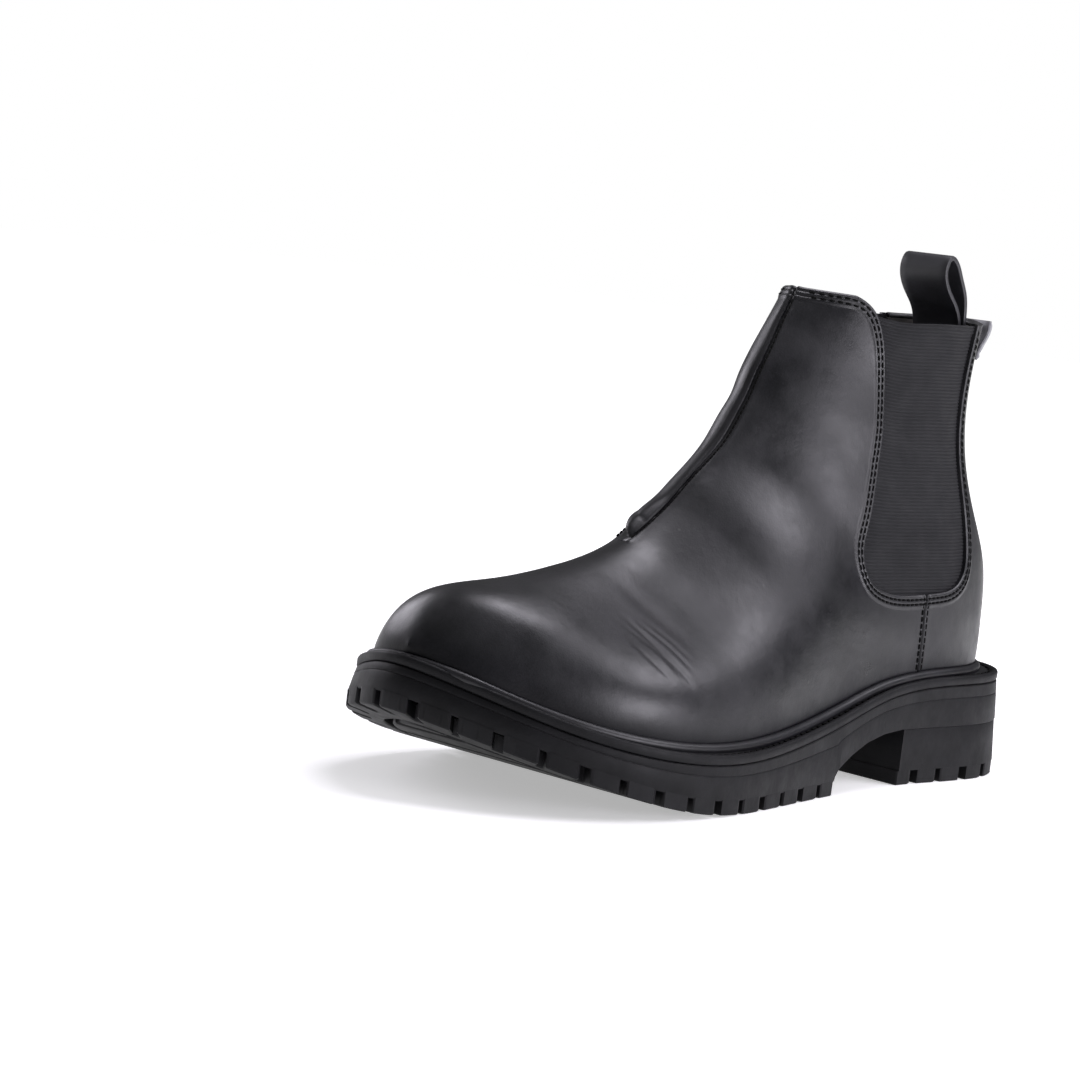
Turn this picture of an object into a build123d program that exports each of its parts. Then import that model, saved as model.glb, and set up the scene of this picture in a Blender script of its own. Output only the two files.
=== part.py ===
from build123d import *
import math
import os

# Left chelsea boot, men's EU 43. Millimetres, +Z up, toe towards -Y, outer (lateral) side +X.
# "s" is the distance from the back of the heel towards the toe: y = LENGTH / 2 - s.

# ---------------------------------------------------------------- driving dimensions
LENGTH = 310.0              # heel to toe over the sole
LEATHER = 1.8               # outer leather
LAYER_GAP = 0.1             # clearance between neighbouring plies
MIDDLE_PLY = 1.2            # elastic, toe puff and heel stiffener
LINING_START = 3.2          # depth of the lining below the outer face
LINING_END = 4.4            # inner face of the lining
WELT_THICK = 4.0
WELT_WIDTH = 13.0           # from the sole edge inwards
BEAD_HEIGHT = 2.4
MIDSOLE_THICK = 6.0
LUG_DEPTH = 5.0
HEEL_BREAST = 84.0          # front face of the heel block
HEEL_TOP = 21.4             # height of the heel block
TREAD_END = 131.0           # rear end of the forepart tread
LINING_DROP = 1.5           # the linings end this far below the collar line
SEAM_X = -4.0               # centre front seam plane
COUNTER_SEAM_S = 71.0       # upright seam between counter and quarters
COUNTER_TOP = 86.0          # height of the seam between counter and back strip
STRAP_WIDTH = 22.0
STRAP_THICK = 2.0
HALF_SPACE = 80.0           # half width of side-view cutters

# Height of the welt top along the boot, (s, z)
WELT_LINE = [(-15, 41.5), (0, 41), (40, 40.6), (70, 40), (95, 37), (125, 30), (160, 24),
             (200, 21.3), (240, 24), (280, 33.5), (310, 47), (325, 54)]
# Top edge of the shaft, dipping over the elastics, (s, z)
COLLAR_LINE = [(-15, 178), (10, 176.6), (24, 175.2), (40, 174.6), (70, 174.2), (95, 175), (104, 177),
               (116, 178.6), (128, 180), (160, 182)]
# Curved underside of the forepart, starting flat on the ground, (s, z)
TOE_SPRING = [(195, 0), (210, 0.6), (235, 3.8), (270, 13), (310, 29), (325, 35.5)]
# Plan of the sole edge, (s, x), outer side from heel to toe then inner side back
SOLE_PLAN = [(0, 0), (1.2, 16), (6.5, 28.5), (18.5, 37.2), (42, 41.5), (85, 42), (125, 45.8),
             (165, 52.7), (200, 58.4), (228, 59), (256, 52.5), (281, 37), (299, 16.2), (310, -9.5),
             (303, -29), (290, -45.4), (268, -55.3), (245, -59.2), (220, -58.5), (190, -52.3),
             (155, -43.2), (120, -39.5), (85, -41), (45, -42), (18, -38), (6, -29), (1.2, -16)]

# Stations of the last. Each row is one section plane through a pivot line above the forefoot:
# pivot s, tilt from vertical (deg), distance to the ridge, distance to the far side, ridge x, far x,
# then the outer and inner x at the fractions listed in SECTION_STEPS.
PIVOT_S = 260.0
PIVOT_Z = 190.0
HALF_POINTS = 12
SOLE_HALF_POINTS = 24
DEEPEST_INSET = 4.6
SECTION_STEPS = (0.06, 0.22, 0.50, 0.78, 0.95)
STATIONS = [
    (303, 0, 138, 152, -9, -9, (-6, -4.5, -3, -3, -5), (-12, -13.5, -15, -15, -13)),
    (299, 0, 131, 156, -9, -9, (-3, 3, 9, 10, 8), (-15, -21, -26, -27, -25)),
    (290, 0, 122.5, 160, -8, -8, (4, 12, 20, 22, 20), (-18, -28, -35, -37.5, -36)),
    (277, 0, 119, 168, -6, -6, (9, 21, 30.5, 33, 31), (-20, -33, -41, -43.5, -41)),
    (260, 0, 117.5, 172, -5, -4, (11, 26, 40, 43, 40.5), (-20, -34, -44.5, -47, -44.5)),
    (260, 14, 116, 184, -4, -3, (10, 26, 47, 51.5, 49), (-18, -32, -46.5, -49.5, -47)),
    (260, 27.4, 117.2, 201, -4, -2, (9, 24, 44.5, 48, 46), (-16, -30, -42, -42.5, -39.5)),
    (260, 39, 115.9, 218, -4, 0, (8, 23, 39, 41, 38.5), (-15, -28, -36, -35.5, -33)),
    (260, 48.2, 115.4, 240, -4, 0, (8, 24, 36, 37.5, 35), (-15, -29, -36, -35.5, -33)),
    (260, 56, 117.3, 290, -4, 0, (8, 24, 34.5, 36, 26), (-16, -29, -36, -36, -27)),
    (260, 62, 118, 289, -4, -1, (8, 23, 32.5, 33, 19.5), (-16, -29, -35.5, -35, -21.5)),
    (260, 66, 119, 280.3, -4, -1.5, (8, 22, 30, 29.5, 17), (-15, -29, -34.5, -33, -20)),
    (260, 69.4, 119.6, 266.5, -4, -2, (7.5, 20.5, 28, 26.5, 14), (-15, -28, -34, -31.5, -18)),
    (260, 74, 122, 252.5, -4, -3, (7, 18.5, 25.5, 23, 11), (-15, -27, -33, -29.5, -17)),
    (260, 79, 125.5, 245, -4, -3, (6, 17, 24.5, 21.5, 10), (-14, -26, -32, -28, -16)),
    (260, 84, 131, 243.5, -4, -3, (5.5, 16.5, 24, 21, 10), (-13.5, -25.5, -31.5, -27.5, -16)),
    (260, 89, 138, 246, -4, -3, (5.5, 16.5, 24, 21, 10), (-13.5, -25.5, -31.5, -27.5, -16)),
]


def yz(s, z):
    """Side-view coordinates of a point given by its distance from the heel."""
    return (LENGTH / 2 - s, z)


# ---------------------------------------------------------------- last (foot and ankle form)
def station_plane(station, inset):
    pivot_s, tilt = station[0], math.radians(station[1])
    toe_shrink = 1 - inset / (303.0 - PIVOT_S)
    pivot_s = PIVOT_S + (pivot_s - PIVOT_S) * toe_shrink
    return Plane(
        origin=(0, LENGTH / 2 - pivot_s, PIVOT_Z),
        x_dir=(1, 0, 0),
        z_dir=(0, -math.cos(tilt), -math.sin(tilt)),
    )


def offset_samples(outline, turn, half_points, inset):
    """Samples of a closed curve, half of them on each side of the turn position, moved inwards."""
    points = []
    for count in range(2 * half_points):
        share = count / half_points
        position = turn * share if share <= 1 else turn + (1 - turn) * (share - 1)
        tangent = outline.tangent_at(position)
        points.append(outline.position_at(position) + Vector(tangent.Y, -tangent.X) * inset)
    return points


def station_points(station, inset):
    """Points around one section, moved inwards square to its outline."""
    near, far, ridge_x, far_x, outer, inner = station[2:]
    depths = [-(near + step * (far - near)) for step in SECTION_STEPS]
    outer_side = list(zip(outer, depths))
    inner_side = list(zip(inner, depths))
    loop = [(ridge_x, -near)] + outer_side + [(far_x, -far)] + inner_side[::-1]
    outline = Edge.make_spline([Vector(x, y) for x, y in loop], periodic=True)
    section_inset = inset * min(1, (outer[2] - inner[2]) / (4 * DEEPEST_INSET))
    turn = outline.param_at_point(Vector(far_x, -far))
    return offset_samples(outline, turn, HALF_POINTS, section_inset)


def last_form(inset):
    """Closed loft of the whole foot and shaft, moved inwards by inset."""
    with BuildPart() as form:
        for station in STATIONS:
            with BuildSketch(station_plane(station, inset)):
                with BuildLine():
                    loop = station_points(station, inset)
                    Spline(*loop[:HALF_POINTS + 1])
                    Spline(*(loop[HALF_POINTS:] + loop[:1]))
                make_face()
        loft(ruled=True)
    return form.part


# ---------------------------------------------------------------- side-view cutters
def side_block(points, x_from=-HALF_SPACE, x_to=HALF_SPACE):
    """Straight-sided block with the given side view."""
    with BuildPart() as block:
        with BuildSketch(Plane.YZ.offset(x_from)):
            with BuildLine():
                Polyline(*[yz(s, z) for s, z in points], close=True)
            make_face()
        extrude(amount=x_to - x_from)
    return block.part


def smooth_line(points, count):
    """Evenly spaced (s, z) points on a smooth curve through the given ones."""
    curve = Edge.make_spline([Vector(s, z) for s, z in points])
    places = [curve.position_at(step / count) for step in range(count + 1)]
    return [(place.X, place.Y) for place in places]


WELT_TOP = smooth_line(WELT_LINE, 34)


def welt_slab(low, high):
    """Layer that follows the welt line between two vertical offsets."""
    upper = [(s, z + high) for s, z in WELT_TOP]
    lower = [(s, z + low) for s, z in reversed(WELT_TOP)]
    return side_block(upper + lower)


GROUND_LINE = [(-15, 0)] + smooth_line(TOE_SPRING, 14)


def tread_slab(low, high):
    """Layer that follows the ground line and the toe spring."""
    upper = [(s, z + high) for s, z in GROUND_LINE]
    lower = [(s, z + low) for s, z in reversed(GROUND_LINE)]
    return side_block(upper + lower)


def sole_outline(inset):
    """Points around the sole plan, moved inwards square to its edge."""
    corners = [(x, LENGTH / 2 - s) for s, x in SOLE_PLAN]
    outline = Edge.make_spline([Vector(x, y) for x, y in corners], periodic=True)
    toe_corner = min(corners, key=lambda corner: corner[1])
    turn = outline.param_at_point(Vector(*toe_corner))
    return offset_samples(outline, turn, SOLE_HALF_POINTS, inset)


def sole_prism(inset, low, high):
    """Sole plan moved inwards by inset, between two heights."""
    loop = sole_outline(inset)
    with BuildPart() as prism:
        with BuildSketch(Plane.XY.offset(low)):
            with BuildLine():
                Spline(*loop[:SOLE_HALF_POINTS + 1])
                Spline(*(loop[SOLE_HALF_POINTS:] + loop[:1]))
            make_face()
        extrude(amount=high - low)
    return prism.part


# ---------------------------------------------------------------- pattern pieces of the upper
def gore_window(lap, x_from, x_to):
    """Side opening of one elastic; lap widens it."""
    with BuildPart() as window:
        with BuildSketch(Plane.YZ.offset(x_from)):
            with BuildLine():
                front = Spline(
                    yz(96 + lap, 200), yz(97 + lap, 174), yz(99 + lap, 131),
                    yz(102 + lap, 115), yz(107 + lap, 97), yz(110 + lap, 84),
                )
                bottom = Spline(yz(110 + lap, 84), yz(104 + lap, 76 - lap), yz(86, 71 - lap),
                                yz(62, 72 - lap), yz(46 - lap, 77 - lap), yz(42 - lap, 84))
                rear = Spline(yz(42 - lap, 84), yz(44 - lap, 112), yz(44 - lap, 136),
                              yz(40 - lap, 166), yz(38 - lap, 200))
                Line(rear @ 1, front @ 0)
            make_face()
        extrude(amount=x_to - x_from)
    return window.part


def medial_quarter_block(grow):
    """Inner side region in front of the elastic and above the arched vamp seam."""
    with BuildPart() as block:
        with BuildSketch(Plane.YZ.offset(-HALF_SPACE)):
            with BuildLine():
                seam = Spline(yz(224 + grow, 87 - grow), yz(205, 87 - grow), yz(190, 92 - grow),
                              yz(170, 94 - grow), yz(140, 90 - grow), yz(108, 83 - grow), yz(70, 84 - grow))
                Polyline(seam @ 1, yz(70, 220), yz(224 + grow, 220), seam @ 0)
            make_face()
        extrude(amount=HALF_SPACE + SEAM_X + grow)
    return block.part


def counter_block(grow):
    """Region behind the counter seam and below the back strip."""
    seam = [(COUNTER_SEAM_S + grow, 5), (COUNTER_SEAM_S + grow, 74), (64 + grow, COUNTER_TOP + grow)]
    return side_block([(-10, 5)] + seam + [(-10, COUNTER_TOP + grow)])


def back_strip_block(grow):
    """Region between the two elastics above the counter."""
    return side_block([(-10, COUNTER_TOP - grow), (64, COUNTER_TOP - grow), (64, 200), (-10, 200)])


COLLAR_TOP = smooth_line(COLLAR_LINE, 40)


def collar_block(drop):
    """Everything above the collar line lowered by drop."""
    return side_block([(s, z - drop) for s, z in COLLAR_TOP] + [(200, 184 - drop), (200, 230), (-15, 230)])


def upper_zone(rise, drop):
    """Space of the upper, from rise above the welt to drop below the collar line."""
    lower = [(s, z + rise) for s, z in WELT_TOP]
    return side_block(lower + [(325, 190 - drop)] + [(s, z - drop) for s, z in reversed(COLLAR_TOP)])


UPPER_ZONE = upper_zone(LAYER_GAP, 0)
LINING_ZONE = upper_zone(LAYER_GAP, LINING_DROP)
FORM_OUTER = last_form(0)
FORM_LEATHER_BACK = last_form(LEATHER)
FORM_PLY_FRONT = last_form(LEATHER + LAYER_GAP)
FORM_PLY_BACK = last_form(LEATHER + LAYER_GAP + MIDDLE_PLY)
FORM_LINING_FRONT = last_form(LINING_START)
FORM_LINING_BACK = last_form(LINING_END)
WINDOW_OUTER = gore_window(0, SEAM_X, HALF_SPACE)
WINDOW_INNER = gore_window(0, -HALF_SPACE, SEAM_X)


def ply(front_form, back_form, zone=UPPER_ZONE):
    """One ply of the upper between the welt and the collar."""
    with BuildPart() as shell:
        add(front_form)
        add(zone, mode=Mode.INTERSECT)
        add(back_form, mode=Mode.SUBTRACT)
    return shell.part


LEATHER_PLY = ply(FORM_OUTER, FORM_LEATHER_BACK)
MIDDLE = ply(FORM_PLY_FRONT, FORM_PLY_BACK)
LINING_PLY = ply(FORM_LINING_FRONT, FORM_LINING_BACK, LINING_ZONE)
SEAM_GAP = 0.15
BAND = 6.0                  # height of the bound collar edge
BAND_START_S = 92.0         # the binding runs over the front quarters only


def piece(base, keep=(), remove=()):
    """A ply limited to the keep regions and relieved by the remove regions."""
    with BuildPart() as panel:
        add(base)
        for region in keep:
            add(region, mode=Mode.INTERSECT)
        for region in remove:
            add(region, mode=Mode.SUBTRACT)
    return panel.part


def save(part, label):
    """Writes one sub-part as its own STEP file, without slivers left by the pattern cuts."""
    solids = [solid for solid in part.solids() if solid.volume > 15]
    kept = solids[0] if len(solids) == 1 else Compound(children=solids)
    kept.label = label
    size = kept.bounding_box().size
    print(f"{label:22s} {len(solids)} solids, valid {kept.is_valid}, {size.X:.1f} x {size.Y:.1f} x {size.Z:.1f}")
    export_step(kept, f"parts/{label}.step")


os.makedirs("parts", exist_ok=True)

# ---------------------------------------------------------------- outer leather
WHOLE_SIDE_VIEW = [(-10, 0), (330, 0), (330, 230), (-10, 230)]
INNER_SIDE = side_block(WHOLE_SIDE_VIEW, x_to=SEAM_X)
OUTER_SIDE = side_block(WHOLE_SIDE_VIEW, x_from=SEAM_X + SEAM_GAP)


def band_zone(grow):
    """Space of the collar binding, in front of the elastics."""
    start = BAND_START_S - 4 * grow / SEAM_GAP
    front_part = side_block([(start, 100), (200, 100), (200, 230), (start, 230)])
    return piece(collar_block(BAND + grow), keep=[front_part])


BAND_ZONE = band_zone(0)
BAND_RELIEF = band_zone(SEAM_GAP)
WINDOWS = [WINDOW_OUTER, WINDOW_INNER]

REAR_RELIEF = [counter_block(SEAM_GAP), back_strip_block(SEAM_GAP)]
VAMP_RELIEF = WINDOWS + REAR_RELIEF + [medial_quarter_block(SEAM_GAP), BAND_RELIEF]
save(piece(LEATHER_PLY, remove=VAMP_RELIEF), "vamp")
MEDIAL_RELIEF = REAR_RELIEF + [WINDOW_INNER, BAND_RELIEF]
save(piece(LEATHER_PLY, keep=[medial_quarter_block(0)], remove=MEDIAL_RELIEF), "medial_quarter")
COUNTER_RELIEF = WINDOWS + [back_strip_block(SEAM_GAP)]
save(piece(LEATHER_PLY, keep=[counter_block(0)], remove=COUNTER_RELIEF), "heel_counter")
save(piece(LEATHER_PLY, keep=[back_strip_block(0)], remove=WINDOWS), "back_strip")

TAB_THICK = 2.0
TAB_ZONE = side_block([(-10, 158), (40, 158), (40, 174.5), (-10, 174.5)], SEAM_X - 11, SEAM_X + 12)
save(piece(ply(last_form(-LAYER_GAP - TAB_THICK), last_form(-LAYER_GAP)), keep=[TAB_ZONE]), "back_tab")

# ---------------------------------------------------------------- elastics and stiffeners
GORE_LAP = 4.0
LOW_COLLAR = collar_block(1.5)
for label, x_from, x_to in (("lateral_gore", SEAM_X, HALF_SPACE), ("medial_gore", -HALF_SPACE, SEAM_X)):
    save(piece(MIDDLE, keep=[gore_window(GORE_LAP, x_from, x_to)], remove=[LOW_COLLAR, BAND_RELIEF]), label)
STIFFENER_ZONE = side_block([(-10, 10), (82, 10), (78, 46), (72, 62), (60, 65.5), (-10, 65.5)])
save(piece(MIDDLE, keep=[STIFFENER_ZONE]), "heel_stiffener")
TOE_PUFF_ZONE = side_block([(258, 10), (330, 10), (330, 100), (262, 100)])
save(piece(MIDDLE, keep=[TOE_PUFF_ZONE]), "toe_puff")

# ---------------------------------------------------------------- linings
VAMP_LINING_ZONE = side_block([(140, 5), (330, 5), (330, 140), (172, 140)])
VAMP_LINING_RELIEF = side_block([(140 - SEAM_GAP, 5), (330, 5), (330, 141), (172 - SEAM_GAP, 141)])


def heel_lining_zone(grow):
    """Region of the lining round the heel."""
    edge = [(92 + grow, 5), (84 + grow, 60), (64 + grow, COUNTER_TOP + grow)]
    return side_block([(-10, 5)] + edge + [(-10, COUNTER_TOP + grow)])


HEEL_LINING_ZONE = heel_lining_zone(0)
HEEL_LINING_RELIEF = heel_lining_zone(SEAM_GAP)
save(piece(LINING_PLY, keep=[VAMP_LINING_ZONE], remove=WINDOWS), "vamp_lining")
QUARTER_RELIEF = WINDOWS + [VAMP_LINING_RELIEF, HEEL_LINING_RELIEF, back_strip_block(SEAM_GAP), BAND_RELIEF]
save(piece(LINING_PLY, keep=[OUTER_SIDE], remove=QUARTER_RELIEF), "lateral_quarter_lining")
save(piece(LINING_PLY, keep=[INNER_SIDE], remove=QUARTER_RELIEF), "medial_quarter_lining")
save(piece(LINING_PLY, keep=[HEEL_LINING_ZONE], remove=WINDOWS), "heel_lining")
save(piece(LINING_PLY, keep=[back_strip_block(-SEAM_GAP)], remove=WINDOWS), "back_strip_lining")
save(piece(ply(FORM_OUTER, FORM_LINING_BACK), keep=[BAND_ZONE], remove=WINDOWS), "collar_binding")

# ---------------------------------------------------------------- pull loop
LOOP_PATH = [(29.4, 164), (29.5, 171), (29.9, 178), (31.5, 185), (35.5, 191.5), (40, 197.5), (43.5, 199),
             (46, 196), (45.6, 190.5), (41, 184.5), (35.5, 179), (32.6, 172), (32, 164)]


def strap_sides(path, thick, count):
    """Points along both faces of a strap that follows a side-view path."""
    middle = Edge.make_spline([Vector(*yz(s, z)) for s, z in path])
    near_face, far_face = [], []
    for step in range(count + 1):
        place = middle.position_at(step / count)
        tangent = middle.tangent_at(step / count)
        sideways = Vector(tangent.Y, -tangent.X) * (thick / 2)
        near_face.append(place + sideways)
        far_face.append(place - sideways)
    return near_face, far_face


with BuildPart() as pull_loop:
    near_face, far_face = strap_sides(LOOP_PATH, STRAP_THICK, 18)
    with BuildSketch(Plane.YZ.offset(SEAM_X + 1 - STRAP_WIDTH / 2)):
        with BuildLine():
            Spline(*near_face)
            Spline(*far_face)
            Line(near_face[0], far_face[0])
            Line(near_face[-1], far_face[-1])
        make_face()
    extrude(amount=STRAP_WIDTH)
save(pull_loop.part, "pull_loop")

# ---------------------------------------------------------------- sole
WELT_EDGE = sole_prism(0, -5, 70)
with BuildPart() as welt:
    add(welt_slab(-WELT_THICK, 0))
    add(WELT_EDGE, mode=Mode.INTERSECT)
    add(sole_prism(WELT_WIDTH, -5, 70), mode=Mode.SUBTRACT)
BEAD_OUTER, BEAD_INNER = 3.2, 9.0
with BuildPart() as bead:
    add(welt_slab(-0.5, BEAD_HEIGHT))
    add(sole_prism(BEAD_OUTER, -5, 70), mode=Mode.INTERSECT)
    add(sole_prism(BEAD_INNER, -5, 70), mode=Mode.SUBTRACT)
    add(last_form(-LAYER_GAP), mode=Mode.SUBTRACT)
with BuildPart() as welt_with_bead:
    add(welt.part)
    add(max(bead.part.solids(), key=lambda solid: solid.volume))
save(welt_with_bead.part, "welt")


def strip_zone(first_s, last_s, x_from=-HALF_SPACE, x_to=HALF_SPACE):
    """Upright block between two distances from the heel."""
    return side_block([(first_s, -5), (last_s, -5), (last_s, 70), (first_s, 70)], x_from, x_to)


SHANK_START, SHANK_END = 57.0, 167.0
SHANK_INNER_X, SHANK_OUTER_X = -9.0, 5.0
SHANK_PLAY = 0.2


def shank_zone(play):
    """Plan of the shank, widened by play."""
    return strip_zone(SHANK_START - play, SHANK_END + play, SHANK_INNER_X - play, SHANK_OUTER_X + play)


save(piece(welt_slab(-3.0, -1.6), keep=[shank_zone(0)]), "shank")
SHANK_POCKET = piece(welt_slab(-3.0 - LAYER_GAP, 1), keep=[shank_zone(SHANK_PLAY)])
CORK_ZONE = sole_prism(WELT_WIDTH + 0.2, -5, 70)
CORK_LAYER = welt_slab(-WELT_THICK + LAYER_GAP, -LAYER_GAP)
save(piece(CORK_LAYER, keep=[CORK_ZONE], remove=[SHANK_POCKET]), "cork_filler")

INSIDE_SHOE = last_form(LINING_END + 0.2)
save(piece(INSIDE_SHOE, keep=[welt_slab(LAYER_GAP, 2.4)]), "insole_board")
save(piece(INSIDE_SHOE, keep=[welt_slab(2.5, 5.5)]), "footbed")

NAIL_RADIUS = 1.3
NAIL_SPOTS = [(-2, 18), (-18, 32), (14, 32), (-16, 58), (12, 58)]
NAIL_TIP, NAIL_TOP = 12.0, 29.5
NAIL_HEAD_RADIUS, NAIL_HEAD = 2.6, 1.2
UPRIGHT = (Align.CENTER, Align.CENTER, Align.MIN)


def nails(grow):
    """The heel nails, points down, or their holes when grown."""
    with BuildPart() as group:
        with Locations(*[(x, LENGTH / 2 - s, NAIL_TIP - grow) for x, s in NAIL_SPOTS]):
            Cylinder(NAIL_RADIUS + grow, NAIL_TOP - NAIL_TIP + grow, align=UPRIGHT)
            with Locations((0, 0, NAIL_TOP - NAIL_TIP - NAIL_HEAD - grow)):
                Cylinder(NAIL_HEAD_RADIUS + grow, NAIL_HEAD + 3 * grow, align=UPRIGHT)
    return group.part


NAIL_HOLES = nails(0.1)
save(nails(0), "heel_nails")
MIDSOLE_TOP = -WELT_THICK - LAYER_GAP
OUTSOLE_TOP = MIDSOLE_TOP - MIDSOLE_THICK
save(piece(welt_slab(OUTSOLE_TOP + LAYER_GAP, MIDSOLE_TOP), keep=[sole_prism(0.3, -5, 70)]), "midsole")

WIDE_NOTCH, NARROW_NOTCH = 3.6, 2.4


def notches(first_s, last_s, pitch):
    """Straight slots across the sole, alternately wide and narrow."""
    with BuildPart() as slots:
        count = int((last_s - first_s) / pitch) + 1
        for index in range(count):
            width = NARROW_NOTCH if index % 2 else WIDE_NOTCH
            station = first_s + index * pitch
            add(strip_zone(station - width / 2, station + width / 2))
    return slots.part


def tread_grooves(edge_block, groove, first_s, last_s, notch_from, notch_to, pitch):
    """Edge notches that run in to one groove parallel to the sole edge."""
    edge_band = piece(sole_prism(-2, -5, 60), keep=[notches(notch_from, notch_to, pitch)],
                      remove=[sole_prism(edge_block, -5, 60)])
    ring = piece(sole_prism(edge_block, -5, 60), keep=[strip_zone(first_s, last_s)],
                 remove=[sole_prism(edge_block + groove, -5, 60)])
    return piece(edge_band + ring, keep=[tread_slab(-1, LUG_DEPTH)])


FOREPART_GROOVES = tread_grooves(14, 3, 141, 300, 144, 298, 13.2)
HEEL_GROOVES = tread_grooves(11, 3, 9, 74, 14, 72, 13.6)
WAIST_LINE = [(TREAD_END, -5), (TREAD_END + 1, 4), (TREAD_END - 3, 9.5), (TREAD_END - 12, 14), (108, 18),
              (96, 20.5), (HEEL_BREAST, HEEL_TOP + LAYER_GAP)]
WAIST_SPACE = side_block([(-20, -5)] + WAIST_LINE + [(-20, HEEL_TOP + LAYER_GAP)])
BODY_OF_SOLE = piece(welt_slab(-60, OUTSOLE_TOP), keep=[sole_prism(0, -5, 60)])
save(piece(BODY_OF_SOLE, remove=[tread_slab(-40, 0), WAIST_SPACE, FOREPART_GROOVES, NAIL_HOLES]), "outsole")

HEEL_SPACE = side_block([(-20, -5), (HEEL_BREAST + 1.5, -5), (HEEL_BREAST, 60), (-20, 60)])
save(piece(sole_prism(0.4, 0, HEEL_TOP), keep=[HEEL_SPACE], remove=[HEEL_GROOVES, NAIL_HOLES]), "heel_block")
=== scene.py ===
import math
import bpy
import numpy as np
from mathutils import Matrix, Vector
from mathutils.bvhtree import BVHTree


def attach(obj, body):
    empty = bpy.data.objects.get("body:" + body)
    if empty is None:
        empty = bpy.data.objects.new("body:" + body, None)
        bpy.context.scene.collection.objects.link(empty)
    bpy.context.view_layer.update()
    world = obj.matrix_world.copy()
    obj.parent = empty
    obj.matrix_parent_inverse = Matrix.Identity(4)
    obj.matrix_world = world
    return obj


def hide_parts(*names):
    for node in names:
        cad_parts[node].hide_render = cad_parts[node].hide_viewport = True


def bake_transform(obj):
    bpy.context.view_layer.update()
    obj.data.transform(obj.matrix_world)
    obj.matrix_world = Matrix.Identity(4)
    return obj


# The scene is in metres; lengths in this script are written in millimetres and scaled by MM.
# "s" is the distance from the back of the heel towards the toe.
MM = 0.001
LENGTH = 310.0
SEAM_X = -4.0

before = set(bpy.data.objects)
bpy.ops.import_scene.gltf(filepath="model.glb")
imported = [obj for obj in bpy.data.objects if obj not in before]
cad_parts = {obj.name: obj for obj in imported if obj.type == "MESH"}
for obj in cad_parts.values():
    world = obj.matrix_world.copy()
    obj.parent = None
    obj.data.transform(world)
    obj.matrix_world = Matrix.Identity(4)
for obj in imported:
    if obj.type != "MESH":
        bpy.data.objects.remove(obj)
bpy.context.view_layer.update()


# ------------------------------------------------------------------ curves
def spline_rows(knots, values, wanted):
    """Natural cubic spline of the rows of values, given at knots, read at wanted."""
    n = len(knots)
    h = np.diff(knots)
    a = np.zeros((n, n))
    b = np.zeros((n,) + values.shape[1:])
    a[0, 0] = a[-1, -1] = 1
    for i in range(1, n - 1):
        a[i, i - 1], a[i, i], a[i, i + 1] = h[i - 1], 2 * (h[i - 1] + h[i]), h[i]
        b[i] = 6 * ((values[i + 1] - values[i]) / h[i] - (values[i] - values[i - 1]) / h[i - 1])
    m = np.linalg.solve(a, b.reshape(n, -1)).reshape(b.shape)
    k = np.clip(np.searchsorted(knots, wanted) - 1, 0, n - 2)
    shape = (-1,) + (1,) * (values.ndim - 1)
    u = (wanted - knots[k]).reshape(shape)
    w = (knots[k + 1] - wanted).reshape(shape)
    hk = h[k].reshape(shape)
    return ((m[k] * w ** 3 + m[k + 1] * u ** 3) / (6 * hk)
            + (values[k] / hk - m[k] * hk / 6) * w + (values[k + 1] / hk - m[k + 1] * hk / 6) * u)


def unit(vectors):
    return vectors / np.linalg.norm(vectors, axis=-1, keepdims=True)


def run_length(points):
    """Length walked along the points, at each point."""
    return np.concatenate([[0], np.cumsum(np.linalg.norm(np.diff(points, axis=0), axis=1))])


def read_at(line, wanted):
    """Points of a polyline at the wanted lengths along it."""
    t = run_length(line)
    return np.stack([np.interp(wanted, t, column) for column in line.T], -1)


def closed_curve(points, count, turn=None):
    """Smooth closed curve through the points. With turn, half the samples lie on each side of that point."""
    p = np.array(points, float)
    wrap = np.vstack([p[-3:], p, p[:4]])
    t = run_length(wrap)
    first, last = t[3], t[3 + len(p)]
    if turn is None:
        wanted = np.linspace(first, last, count, endpoint=False)
    else:
        half = count // 2
        wanted = np.concatenate([np.linspace(first, t[3 + turn], half, endpoint=False),
                                 np.linspace(t[3 + turn], last, count - half, endpoint=False)])
    return spline_rows(t, wrap, wanted)


def open_curve(points, count=60):
    """Smooth curve through the points, with its samples evenly spaced."""
    p = np.array(points, float)
    t = run_length(p)
    return spline_rows(t, p, np.linspace(0, t[-1], count))


def distance(points, line):
    """Distance of each 2-D point to a polyline, and the signed side of its nearest segment."""
    a, b = line[:-1], line[1:]
    d = b - a
    best = np.full(len(points), 1e9)
    side = np.zeros(len(points))
    for i in range(len(a)):
        rel = points - a[i]
        u = np.clip((rel @ d[i]) / (d[i] @ d[i]), 0, 1)
        gap = np.linalg.norm(rel - u[:, None] * d[i], axis=1)
        cross = d[i][0] * rel[:, 1] - d[i][1] * rel[:, 0]
        nearer = gap < best - 1e-9
        best[nearer] = gap[nearer]
        side[nearer] = np.sign(cross[nearer])
    return best, side


def inside(points, loop):
    """Which 2-D points lie within a closed loop."""
    result = np.zeros(len(points), bool)
    for (x0, y0), (x1, y1) in zip(loop, np.roll(loop, -1, axis=0)):
        hit = ((y0 > points[:, 1]) != (y1 > points[:, 1]))
        with np.errstate(divide="ignore", invalid="ignore"):
            cut = (x1 - x0) * (points[:, 1] - y0) / (y1 - y0) + x0
        result ^= hit & (points[:, 0] < cut)
    return result


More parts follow.
